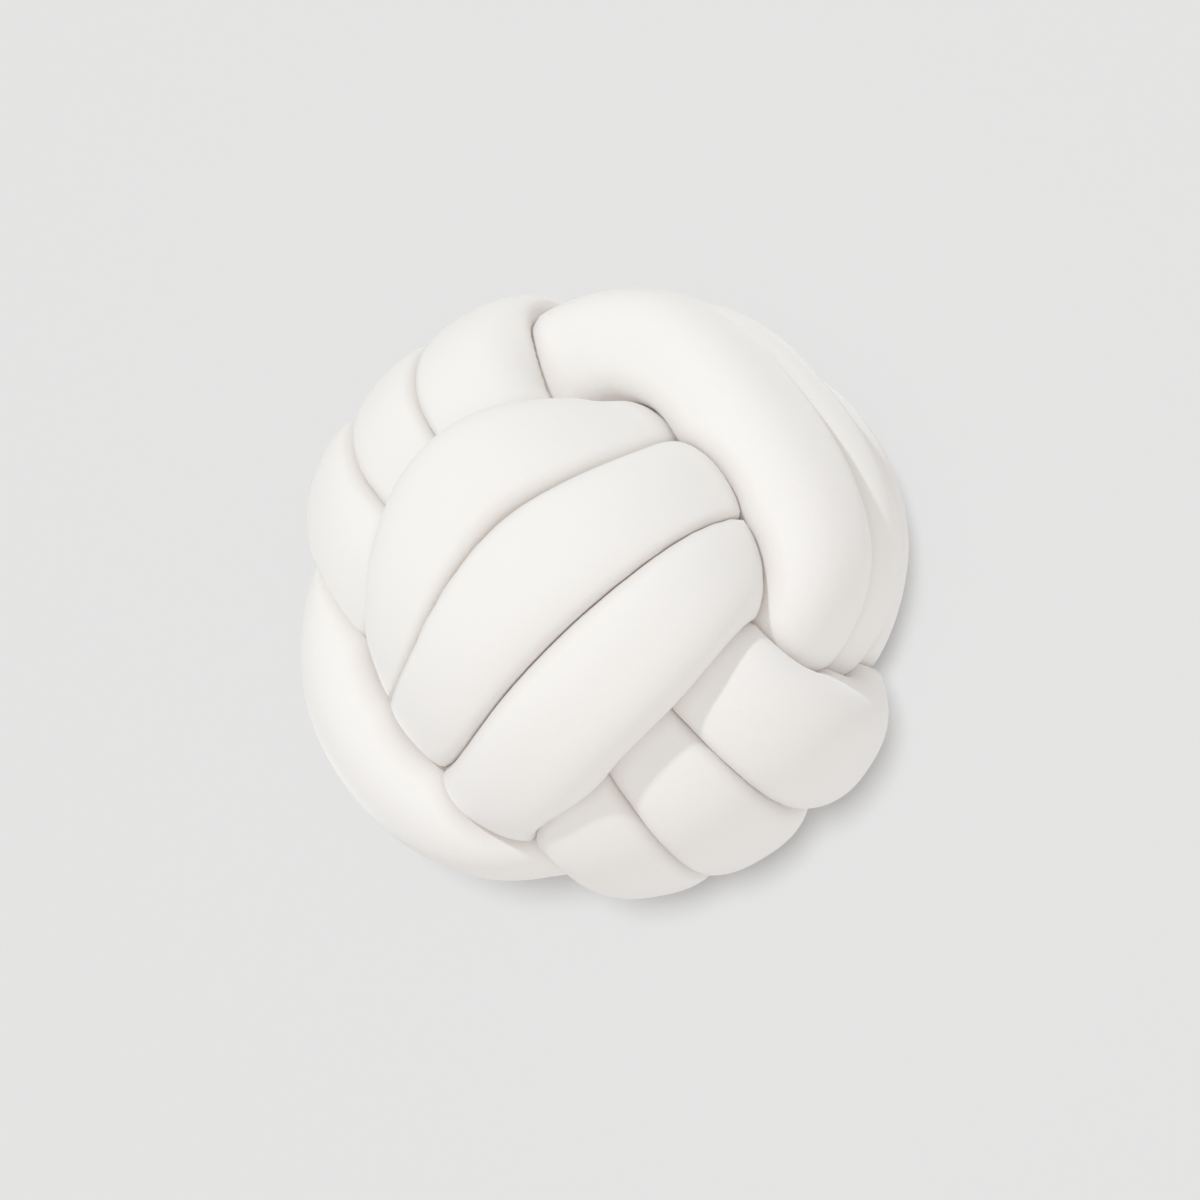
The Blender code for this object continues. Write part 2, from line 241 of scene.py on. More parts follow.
@dataclass
class KnotPath:
    """The centre line of the tube through the whole knot, in millimetres.

    Attributes:
        inner_line: The furthest out that an inner stretch's middle lies, along the running axis.
        inner_station: How far above and below that its two other stations are.
        inner_shift: The share of its two passes' mean shift that it keeps at its middle.
        inner_ease: How far its ends move over towards its middle, as a share.
        inner_radius: The room that a point asks for inside the ball.
        outer_radius: The room that it asks for on the outside.
        points: How many points the path has.
        settle_steps: How many times its points push each other apart.
        same_stretch: The length along the tube within which points don't push each other.
        push: The share of its mean overlap that a point moves in one step.
        room_radii: How far from the ball's middle the room changes from inner to outer.
        hold_inside: How strongly the table's path pulls a point back inside the ball.
        hold_outside: The same on the outside.
        stiff_radii: How far from the middle the pull and the stiffness change.
        stiffness: The share of the push that the outside withstands.
        smoothing: How much each step straightens the path.
        kink_smoothing: How much more it straightens short kinks.
    """

    inner_line: float = 74.0
    inner_station: float = 50.0
    inner_shift: float = 0.85
    inner_ease: float = 0.2
    inner_radius: float = 15.0
    outer_radius: float = 28.5
    points: int = 480
    settle_steps: int = 300
    same_stretch: float = 85.0
    push: float = 0.5
    room_radii: tuple[float, float] = (64.0, 115.0)
    hold_inside: float = 0.008
    hold_outside: float = 0.25
    stiff_radii: tuple[float, float] = (79.0, 100.0)
    stiffness: float = 0.92
    smoothing: float = 0.30
    kink_smoothing: float = 0.25

    def outer_stations(self, row: Pass, face: int, forwards: bool) -> list[tuple[float, ...]]:
        """The centre line over the outside.

        Args:
            row: The pass.
            face: 1 on the group's high face and -1 on its low one.
            forwards: Whether the tube runs towards the high end of the running axis.

        Returns:
            (outward, running, across) at five places, in travel order.
        """
        ends = {
            Side.IN: (-row.reach_in, row.shift_in, row.lift_in),
            Side.OUT: (row.reach_out, row.shift_out, row.lift_out),
        }
        route = (
            (DIVE, Side.IN),
            (SHOULDER, Side.IN),
            (MIDDLE, Side.IN),
            (SHOULDER, Side.OUT),
            (DIVE, Side.OUT),
        )
        stations = []
        for station, side in route:
            reach, shift, lift = ends[side]
            running = station.reach_share * reach
            across = row.shift_mid + station.end_shift * (shift - row.shift_mid)
            line = station.line + row.lift_mid + station.end_lift * (lift - row.lift_mid)
            outward = (line**2 - running**2 - across**2) ** 0.5
            stations.append((face * outward, running, across))
        return stations if forwards else stations[::-1]

    def inner_stations(
        self, side: Side, reaches: tuple[float, float], shifts: tuple[float, float]
    ) -> list[tuple[float, ...]]:
        """The centre line through the inside, from the high face to the low one.

        Args:
            side: The end of the running axis where the stretch lies.
            reaches: How far out it starts and ends.
            shifts: Where across the group it starts and ends.

        Returns:
            (outward, running, across) at three places.
        """
        middle = self.inner_shift * sum(shifts) / 2
        start, end = (shift + self.inner_ease * (middle - shift) for shift in shifts)
        deepest = min(sum(reaches) / 2, self.inner_line)
        return [
            (self.inner_station, side.value * reaches[0], start),
            (0, side.value * deepest, middle),
            (-self.inner_station, side.value * reaches[1], end),
        ]

    def group_stations(self, group: Group) -> Array:
        """The three turns of one group and the lead to the next group, as X, Y and Z."""
        stations: list[tuple[float, ...]] = []
        below: Union[Pass, None] = None
        for high, low in zip(group.high_face, group.low_face):
            if below is not None:
                back = self.inner_stations(
                    Side.IN, (high.reach_in, below.reach_in), (high.shift_in, below.shift_in)
                )
                stations += back[::-1]
            stations += self.outer_stations(high, 1, True)
            stations += self.inner_stations(
                Side.OUT, (high.reach_out, low.reach_out), (high.shift_out, low.shift_out)
            )
            stations += self.outer_stations(low, -1, False)
            below = low
        kept, moved = LEAD_START
        stations.append((-self.inner_station, -below.reach_in, kept * below.shift_in + moved))
        stations += LEAD_STATIONS
        return np.array(stations, float)[:, group.xyz_columns]

    def settled(self) -> Array:
        """The path once its hidden stretches have pushed each other apart.

        The squeezed tube needs a little room inside the ball. The outside stays where the
        table puts it.

        Returns:
            The path's points at even steps.
        """
        stations = np.vstack([self.group_stations(group) for group in GROUPS])
        path = spaced_loop(smooth_loop(stations), self.points)
        rest = path.copy()
        index = np.arange(self.points)
        apart = np.abs(index[:, None] - index[None])
        apart = np.minimum(apart, self.points - apart)
        others = apart * loop_steps(path).mean() > self.same_stretch
        stiff = ramp(np.linalg.norm(rest, axis=1), *self.stiff_radii)[:, None]
        hold = self.hold_inside + (self.hold_outside - self.hold_inside) * stiff
        for _ in range(self.settle_steps):
            away = path[:, None] - path[None]
            distance = np.linalg.norm(away, axis=2) + 1e-9
            outside = ramp(np.linalg.norm(path, axis=1), *self.room_radii)
            room = self.inner_radius + (self.outer_radius - self.inner_radius) * outside
            overlap = np.where(others, np.maximum(room[:, None] + room - distance, 0), 0)
            push = (away * (overlap / distance)[..., None]).sum(axis=1)
            touching = np.maximum((overlap > 0).sum(axis=1), 1)[:, None]
            path = path + self.push * push / touching * (1 - self.stiffness * stiff)
            bend = loop_average(path) - path
            kink = loop_average(bend) - bend
            path = path + self.smoothing * bend - self.kink_smoothing * kink
            path = path + hold * (rest - path)
        return spaced_loop(path, self.points)


@dataclass
class TubeRings:
    """Rings of cloth along the tube.

    Attributes:
        centres: Each ring's middle.
        outwards: Unit directions from the middle to each point of the ring.
        radii: How far the cloth is from the middle, along those directions.
        room: How far the cloth could go before it met a neighbouring pass.
        squeeze: How much a bend gathers the cloth, from 0 to about 1.
    """

    centres: Array
    outwards: Array
    radii: Array
    room: Array
    squeeze: Array

    def points(self, grow: float = 0.0) -> Array:
        """The cloth's points, one a row, with the radii grown by this much."""
        reach = (self.radii + grow)[..., None]
        return (self.centres[:, None] + self.outwards * reach).reshape(-1, 3)

    def quads(self) -> Array:
        """The corners of each patch of cloth, facing out."""
        rings, sides = self.radii.shape
        ring, side = (grid.ravel() for grid in np.indices((rings, sides)))
        next_ring, next_side = (ring + 1) % rings, (side + 1) % sides
        corners = (
            ring * sides + side,
            ring * sides + next_side,
            next_ring * sides + next_side,
            next_ring * sides + side,
        )
        return np.stack(corners, axis=1)


@dataclass
class StuffedTube:
    """The stuffed tube of knitted cloth, the only piece of the cushion, in millimetres.

    Attributes:
        path: The tube's centre line.
        radius: The free tube's radius.
        pass_gap: The gap between two passes that press on each other.
        fill_share: The area that a section is filled to, as a share of the round tube's.
        fill_give: The least and the greatest free radius, as shares of the radius.
        spread: The free section's width on the outside, as a share of its height.
        plumpness: How full the section's corners are there. 2 is an ellipse.
        spread_radii: How far from the ball's middle the section changes from round to spread.
        corner_sharpness: How sharp the cloth's edge is where a neighbour starts to press.
        bend_clearance: The share of the room inside its own bend that the cloth takes.
        least_radius: The least radius inside a bend.
        own_bend: The length along the tube that is too near to press on a ring.
        other_pass: The length beyond which the tube counts as another pass.
        press_within: How near a stretch has to be to press.
        unpressed: The room where nothing presses.
        path_steps: Points of the fine path for each point of the settled one.
        near_points: Points on the path that the presses are worked out from.
        fill_rounds: How many times the radii are worked out.
        fill_rate: How fast they reach the wanted area.
        fill_averaging: Rounds of averaging along the tube, of the filling and of the bends.
        rings: Rings of cloth.
        sides: Points on each ring.
        even_share: How closely the rings stand on a straight stretch.
        bend_share: How much a bend adds to that.
        bend_averaging: Rounds of averaging of the bends before they count there.
        seen_radii: How far from the ball's middle the hidden stretches become the seen ones.
        hidden_share: What the closeness is multiplied by where the tube is hidden.
        seen_share: What is added to that where it is seen.
        lump_size: The size of the stuffing's unevenness.
        lump_height: Its height.
        least_gap: The gap that passes which cross or touch are eased apart to.
        ease_rounds: The most rounds of easing.
        ease_step: What one round leaves of the radius there.
        floor_depth: How far the flat spot lies below the ball's middle.
        wales: The knit's columns round the tube.
        stitch_length: The length of one stitch along the tube.
        crease_reach: How far from a neighbour the cloth still counts as in the crease, where it
            gets painted shade and a painted glow.
        middle: The ball's middle once it is built, in metres.
    """

    path: KnotPath = field(default_factory=KnotPath)
    radius: float = 29.0
    pass_gap: float = 0.3
    fill_share: float = 1.05
    fill_give: tuple[float, float] = (0.95, 1.06)
    spread: float = 1.12
    plumpness: float = 2.5
    spread_radii: tuple[float, float] = (75.0, 100.0)
    corner_sharpness: float = 24.0
    bend_clearance: float = 0.97
    least_radius: float = 6.0
    own_bend: float = 12.0
    other_pass: float = 55.0
    press_within: float = 95.0
    unpressed: float = 1000.0
    path_steps: int = 6
    near_points: int = 1440
    fill_rounds: int = 7
    fill_rate: float = 0.35
    fill_averaging: int = 20
    rings: int = 1480
    sides: int = 64
    even_share: float = 0.03
    bend_share: float = 0.6
    bend_averaging: int = 6
    seen_radii: tuple[float, float] = (70.0, 90.0)
    hidden_share: float = 0.5
    seen_share: float = 1.6
    lump_size: float = 42.0
    lump_height: float = 0.55
    least_gap: float = 0.3
    ease_rounds: int = 12
    ease_step: float = 0.99
    floor_depth: float = 141.0
    wales: int = 132
    stitch_length: float = 1.4
    crease_reach: float = 14.0
    middle: Vector = field(default_factory=Vector)

    def ring_centres(self, path: Array) -> Array:
        """Ring centres along the path, closer together where it bends and where it shows."""
        direction = unit(np.roll(path, -1, 0) - np.roll(path, 1, 0))
        bend = loop_steps(direction) / loop_steps(path)
        for _ in range(self.bend_averaging):
            bend = 0.5 * bend + 0.5 * loop_average(bend)
        seen = ramp(np.linalg.norm(path, axis=1), *self.seen_radii)
        weight = (self.even_share + self.bend_share * bend) * (
            self.hidden_share + self.seen_share * seen
        )
        return spaced_loop(path, self.rings, weight)

    def directions(self, centres: Array) -> Array:
        """Unit directions from each ring's centre to its points, turned as little as possible.

        Args:
            centres: The ring centres.

        Returns:
            An array of rings, sides and X, Y, Z.
        """
        along = unit(np.roll(centres, -1, 0) - np.roll(centres, 1, 0))
        first = np.zeros_like(centres)
        first[0] = unit(np.cross(along[0], (0.0, 1.0, 0.0)))
        for i in range(1, len(centres)):
            first[i] = unit(first[i - 1] - along[i] * (first[i - 1] @ along[i]))
        last = first[-1] - along[0] * (first[-1] @ along[0])
        turn = -np.arctan2(last @ np.cross(along[0], first[0]), last @ first[0])
        angle = (turn * np.arange(len(centres)) / len(centres))[:, None]
        first = first * np.cos(angle) + np.cross(along, first) * np.sin(angle)
        second = np.cross(along, first)
        angle = (np.arange(self.sides) / self.sides * 2 * np.pi)[:, None]
        return first[:, None] * np.cos(angle) + second[:, None] * np.sin(angle)

    def room_around(self, path: Array, centres: Array, outwards: Array) -> Array:
        """How far the cloth can go before it meets what presses on it, half way to it.

        Args:
            path: The centre line.
            centres: The ring centres.
            outwards: The directions from them.

        Returns:
            A distance for each ring and side.
        """
        nearby = spaced_loop(path, self.near_points)
        steps = loop_steps(nearby)
        marks = np.concatenate([[0.0], np.cumsum(steps)])
        length, marks = marks[-1], marks[:-1]
        room = np.full(outwards.shape[:2], self.unpressed)
        for i, centre in enumerate(centres):
            away = nearby - centre
            squared = (away**2).sum(axis=1)
            along = np.abs(marks - marks[np.argmin(squared)])
            along = np.minimum(along, length - along)
            close = squared < self.press_within**2
            other = close & (along > self.other_pass)
            if other.any():
                toward = outwards[i] @ away[other].T + self.pass_gap
                reach = (squared[other] - self.pass_gap**2) / (2 * np.maximum(toward, 1e-6))
                room[i] = reach.min(axis=1)
            own = close & (along > self.own_bend) & (along <= self.other_pass)
            toward = outwards[i] @ away[own].T
            reach = (squared[own] / (2 * np.maximum(toward, 1e-6))).min(axis=1)
            reach = np.maximum(reach * self.bend_clearance, self.least_radius)
            room[i] = np.minimum(room[i], reach)
        return room

    def lumps(self, centres: Array, outwards: Array) -> Array:
        """The stuffing's unevenness, as an addition to each radius in millimetres."""
        places = (centres[:, None] + outwards * self.radius).reshape(-1, 3) / self.lump_size
        heights = [noise.noise(Vector(place)) for place in places]
        return self.lump_height * np.array(heights).reshape(outwards.shape[:2])

    def section_shape(self, centres: Array, outwards: Array) -> Array:
        """The free tube's radius as a share of its height.

        The tube is round inside the ball, and wider than high where it lies on the outside.

        Args:
            centres: The ring centres.
            outwards: The directions from them.

        Returns:
            A share for each ring and side.
        """
        distance = np.linalg.norm(centres, axis=1)[:, None]
        along = unit(np.roll(centres, -1, 0) - np.roll(centres, 1, 0))
        up = centres / distance
        up = unit(up - along * (up * along).sum(axis=1)[:, None])
        height = np.abs((outwards * up[:, None]).sum(axis=2))
        width = np.sqrt(np.clip(1 - height**2, 0, 1))
        outside = ramp(distance, *self.spread_radii)
        power = 2 + (self.plumpness - 2) * outside
        spread = 1 + (self.spread - 1) * outside
        return (height**power + (width / spread) ** power) ** (-1 / power)

    def filled_radii(self, shape: Array, room: Array, lumps: Array) -> Array:
        """The cloth's radii: the free tube, or the room where a neighbour presses on it.

        Args:
            shape: The free tube's radius as a share of its height.
            room: How far the cloth can go.
            lumps: The stuffing's unevenness.

        Returns:
            A radius for each ring and side.
        """
        free = np.full(len(room), self.radius)
        wanted = np.pi * self.radius**2 * self.fill_share
        wedge = 0.5 * np.sin(2 * np.pi / self.sides)
        radii = room
        for _ in range(self.fill_rounds):
            power = (free[:, None] * shape + lumps) ** -self.corner_sharpness
            radii = (power + room**-self.corner_sharpness) ** (-1 / self.corner_sharpness)
            area = wedge * (radii * np.roll(radii, 1, 1)).sum(axis=1)
            free = free * (wanted / area) ** self.fill_rate
            free = np.clip(free, *(self.radius * share for share in self.fill_give))
            for _ in range(self.fill_averaging):
                free = 0.5 * free + 0.5 * loop_average(free)
        return radii

    def gathered(self, centres: Array, outwards: Array) -> Array:
        """How much each bend gathers the cloth on its inside, as a share of its length."""
        steps = loop_steps(centres)
        along = unit(np.roll(centres, -1, 0) - np.roll(centres, 1, 0))
        turn = (np.roll(along, -1, 0) - np.roll(along, 1, 0)) / (
            steps + np.roll(steps, 1)
        )[:, None]
        for _ in range(self.fill_averaging):
            turn = 0.5 * turn + 0.5 * loop_average(turn)
        return np.clip((outwards * turn[:, None]).sum(axis=2) * self.radius, 0, 1)

    def eased_apart(self, rings: TubeRings) -> int:
        """Draws the cloth in wherever two passes would come nearer than the least gap.

        Args:
            rings: The rings, whose radii are changed.

        Returns:
            How many points still cross at the end.
        """
        quads = rings.quads()
        triangles = np.concatenate([quads[:, (0, 1, 2)], quads[:, (0, 2, 3)]])
        faces = triangles.tolist()
        corners = np.zeros(0, int)
        for _ in range(self.ease_rounds):
            points = rings.points(self.least_gap / 2)
            tree = BVHTree.FromPolygons(points.tolist(), faces, all_triangles=True)
            pairs = np.array(tree.overlap(tree), dtype=int).reshape(-1, 2)
            first, second = triangles[pairs[:, 0]], triangles[pairs[:, 1]]
            shared = (first[:, :, None] == second[:, None]).any(axis=(1, 2))
            corners = np.unique(first[~shared])
            if not corners.size:
                break
            rings.radii.reshape(-1)[corners] *= self.ease_step
        return corners.size

    def rings_of_cloth(self) -> TubeRings:
        """The rings along the settled path, pressed, filled and eased apart."""
        path = smooth_loop(self.path.settled(), self.path_steps)
        centres = self.ring_centres(path)
        outwards = self.directions(centres)
        room = self.room_around(path, centres, outwards)
        shape = self.section_shape(centres, outwards)
        radii = self.filled_radii(shape, room, self.lumps(centres, outwards))
        rings = TubeRings(centres, outwards, radii, room, self.gathered(centres, outwards))
        LOG.info("points that still cross: %d", self.eased_apart(rings))
        return rings

    def build(self) -> bpy.types.Object:
        """Makes the tube's mesh, with its UV map and the attributes that its cloth reads.

        Returns:
            The object, in metres, standing on its flat spot.
        """
        rings = self.rings_of_cloth()
        points = rings.points()
        footprint = 0.5 * (points.min(axis=0) + points.max(axis=0))[:2]
        points[:, :2] -= footprint
        points[:, 2] = np.maximum(points[:, 2], -self.floor_depth) + self.floor_depth
        self.middle = Vector((*-footprint, self.floor_depth)) * MM
        mesh = bpy.data.meshes.new("knotted_tube_cloth")
        mesh.from_pydata((points * MM).tolist(), [], rings.quads().tolist())
        mesh.shade_smooth()
        self.lay_uv(mesh, rings)
        # The crease attribute is the mask for the cloth's painted shade and painted glow near a
        # neighbouring pass.
        near = 1 - np.clip((rings.room - rings.radii) / self.crease_reach, 0, 1)
        self.lay_attribute(mesh, "crease", near)
        self.lay_attribute(mesh, "squeeze", rings.squeeze)
        tube = bpy.data.objects.new("knotted_tube_cloth", mesh)
        bpy.context.scene.collection.objects.link(tube)
        return tube

    def lay_uv(self, mesh: bpy.types.Mesh, rings: TubeRings) -> None:
        """Lays a UV map on the tube, in stitches: U across the wales and V along them.

        Args:
            mesh: The tube's mesh.
            rings: The rings that it was made from.
        """
        marks = np.concatenate([[0.0], np.cumsum(loop_steps(rings.centres))])
        rows = round(marks[-1] / self.stitch_length)
        along = marks / marks[-1] * rows
        count, sides = rings.radii.shape
        ring, side = (grid.ravel() for grid in np.indices((count, sides)))
        across = self.wales / sides
        left, right = side * across, (side + 1) * across
        near, far = along[ring], along[ring + 1]
        corners = np.stack([left, near, right, near, right, far, left, far], axis=1)
        layer = mesh.uv_layers.new(name="stitches")
        layer.data.foreach_set("uv", corners.astype(np.float32).ravel())

    @staticmethod
    def lay_attribute(mesh: bpy.types.Mesh, name: str, values: Array) -> None:
        """Stores one number for each point of the mesh under this name."""
        attribute = mesh.attributes.new(name, "FLOAT", "POINT")
        attribute.data.foreach_set("value", values.astype(np.float32).ravel())


class Value:
    """A number or colour that a node tree works out, for use in plain expressions."""

    def __init__(self, builder: "NodeBuilder", socket: bpy.types.NodeSocket) -> None:
        """Wraps one output socket of a node."""
        self.builder = builder
        self.socket = socket

    def maths(self, operation: str, first: "Operand", second: "Operand" = 0.0) -> "Value":
        """Adds one Math node on two operands."""
        return self.builder.node(
            "ShaderNodeMath", {"operation": operation}, {"Value": first, "Value_001": second}
        )

    def __add__(self, other: "Operand") -> "Value":
        """self + other."""
        return self.maths("ADD", self, other)

    def __sub__(self, other: "Operand") -> "Value":
        """self - other."""
        return self.maths("SUBTRACT", self, other)

    def __rsub__(self, other: "Operand") -> "Value":
        """other - self."""
        return self.maths("SUBTRACT", other, self)

    def __mul__(self, other: "Operand") -> "Value":
        """self * other."""
        return self.maths("MULTIPLY", self, other)

    def __rtruediv__(self, other: "Operand") -> "Value":
        """other / self."""
        return self.maths("DIVIDE", other, self)

    def __pow__(self, other: "Operand") -> "Value":
        """self ** other."""
        return self.maths("POWER", self, other)

    __radd__ = __add__
    __rmul__ = __mul__

    def __abs__(self) -> "Value":
        """The size of the number."""
        return self.maths("ABSOLUTE", self)

    def fraction(self) -> "Value":
        """What is left over the whole number below."""
        return self.maths("FRACT", self)

    def at_least(self, least: "Operand") -> "Value":
        """The number, or this one where it is less."""
        return self.maths("MAXIMUM", self, least)


Operand = Union[Value, float]


class NodeBuilder:
    """Adds nodes to a material's tree or a geometry tree."""

    def __init__(self, tree: bpy.types.NodeTree) -> None:
        """Starts on this tree."""
        self.tree = tree

    def node(
        self,
        kind: str,
        settings: Union[Mapping[str, object], None] = None,
        sockets: Union[Mapping[str, object], None] = None,
        output: Union[str, None] = None,
    ) -> Value:
        """Adds one node.

        Args:
            kind: The node's type name.
            settings: Its settings, which are set first.
            sockets: Values or links, by socket identifier.
            output: The identifier of the output to return, or None for the first.

        Returns:
            That output.
        """
        made = self.tree.nodes.new(kind)
        for name, value in (settings or {}).items():
            setattr(made, name, value)
        inputs = {socket.identifier: socket for socket in made.inputs}
        for name, value in (sockets or {}).items():
            if isinstance(value, Value):
                self.tree.links.new(value.socket, inputs[name])
            else:
                inputs[name].default_value = value
        outputs = {socket.identifier: socket for socket in made.outputs}
        if not outputs:
            return Value(self, None)
        return Value(self, outputs[output] if output else made.outputs[0])

    def mixed(self, share: Operand, first: Union[Value, Colour], second: Colour) -> Value:
        """A colour between two colours.

        Args:
            share: How much of the second colour, from 0 to 1.
            first: The colour at 0.
            second: The colour at 1.

        Returns:
            The colour.
        """
        start = first if isinstance(first, Value) else (*first, 1.0)
        return self.node(
            "ShaderNodeMix",
            {"data_type": "RGBA"},
            {"Factor_Float": share, "A_Color": start, "B_Color": (*second, 1.0)},
            "Result_Color",
        )

    def noise(self, place: Value, size: float, detail: float) -> Value:
        """Cloudy noise from 0 to 1.

        Args:
            place: Where it is read.
            size: The size of one cloud, in the place's own units.
            detail: How many finer layers are added.

        Returns:
            The noise.
        """
        sockets = {
            "Vector": place,
            "Scale": 1.0 / size,
            "Detail": detail,
            "Roughness": LAYER_ROUGHNESS,
        }
        return self.node("ShaderNodeTexNoise", sockets=sockets, output="Fac")


@dataclass(frozen=True)
class BrushedKnit:
    """Fine off-white jersey with a brushed, matte face, sizes in metres.

    The colour drifts between the lit and the warm one in broad clouds and in single fibres, and
    turns to a painted shade colour near a neighbouring pass, darkening the creases as shade would.
    The painted glow there is a faint emission that stands for the light that comes through the thin
    knit, lifting the shade in the creases. The painted shade's and the painted glow's powers say
    how close to the neighbour each keeps, and the wale's how flat a column of stitches is. Each
    detail is how many finer layers that noise has.
    """

    slot: str = "off_white_knit"
    lit_colour: Colour = (0.93, 0.92, 0.90)
    warm_colour: Colour = (0.90, 0.865, 0.815)
    cloud_warmth: float = 0.25
    fibre_warmth: float = 0.2
    # Painted shade: the colour that the cloth is darkened towards in the creases between passes.
    crease_painted_shade: Colour = (0.66, 0.60, 0.55)
    painted_shade_share: float = 0.6
    painted_shade_power: float = 1.8
    # Painted glow: a faint emission in the deepest creases that lifts their shade.
    crease_painted_glow: Colour = (0.016, 0.012, 0.010)
    painted_glow_power: float = 6.0
    roughness: float = 0.9
    roughness_swing: float = 0.08
    shine: float = 0.25
    sheen: float = 0.6
    sheen_roughness: float = 0.45
    cloud_size: float = 0.055
    cloud_detail: float = 2.0
    fibre_size: float = 0.0009
    fibre_detail: float = 3.0
    fibre_depth: float = 0.00016
    pill_size: float = 0.0035
    pill_detail: float = 2.0
    pill_depth: float = 0.00022
    stitch_depth: float = 0.00010
    leg_slant: float = 0.9
    wale_power: float = 4.0
    bump_strength: float = 0.55

    def stitch_height(self, nodes: NodeBuilder) -> Value:
        """The height of the knit's stitches: columns of small slanting legs, from 0 to 1."""
        uv = nodes.node("ShaderNodeUVMap", {"uv_map": "stitches"})
        wale = nodes.node("ShaderNodeSeparateXYZ", sockets={"Vector": uv}, output="X")
        row = nodes.node("ShaderNodeSeparateXYZ", sockets={"Vector": uv}, output="Y")
        from_middle = abs(wale.fraction() - 0.5) * 2.0
        leg = abs((row + from_middle * self.leg_slant).fraction() - 0.5) * 2.0
        return (1.0 - leg * leg) * (1.0 - from_middle**self.wale_power)

    def material(self) -> bpy.types.Material:
        """Builds the material."""
        made = bpy.data.materials.new(self.slot)
        made.use_nodes = True
        made.node_tree.nodes.clear()
        nodes = NodeBuilder(made.node_tree)
        place = nodes.node("ShaderNodeTexCoord", output="Object")
        clouds = nodes.noise(place, self.cloud_size, self.cloud_detail)
        fibres = nodes.noise(place, self.fibre_size, self.fibre_detail)
        pills = nodes.noise(place, self.pill_size, self.pill_detail)
        crease = nodes.node("ShaderNodeAttribute", {"attribute_name": "crease"}, output="Fac")
        warmth = self.cloud_warmth * clouds + self.fibre_warmth * fibres
        colour = nodes.mixed(warmth, self.lit_colour, self.warm_colour)
        # Painted shade: the colour turns darker and warmer near a neighbouring pass.
        near = self.painted_shade_share * crease**self.painted_shade_power
        colour = nodes.mixed(near, colour, self.crease_painted_shade)
        # Painted glow: emission that lightens the creases.
        glow = nodes.mixed(crease**self.painted_glow_power, BLACK, self.crease_painted_glow)
        height = (
            self.stitch_depth * self.stitch_height(nodes)
            + self.fibre_depth * fibres
            + self.pill_depth * pills
        )
        bump = nodes.node(
            "ShaderNodeBump",
            sockets={"Strength": self.bump_strength, "Distance": 1.0, "Height": height},
        )
        shader = nodes.node(
            "ShaderNodeBsdfPrincipled",
            sockets={
                "Base Color": colour,
                "Roughness": self.roughness + self.roughness_swing * (fibres - 0.5),
                "Sheen Weight": self.sheen,
                "Sheen Roughness": self.sheen_roughness,
                "Specular IOR Level": self.shine,
                "Emission Color": glow,
                "Emission Strength": 1.0,
                "Normal": bump,
            },
        )
        nodes.node("ShaderNodeOutputMaterial", sockets={"Surface": shader})
        return made


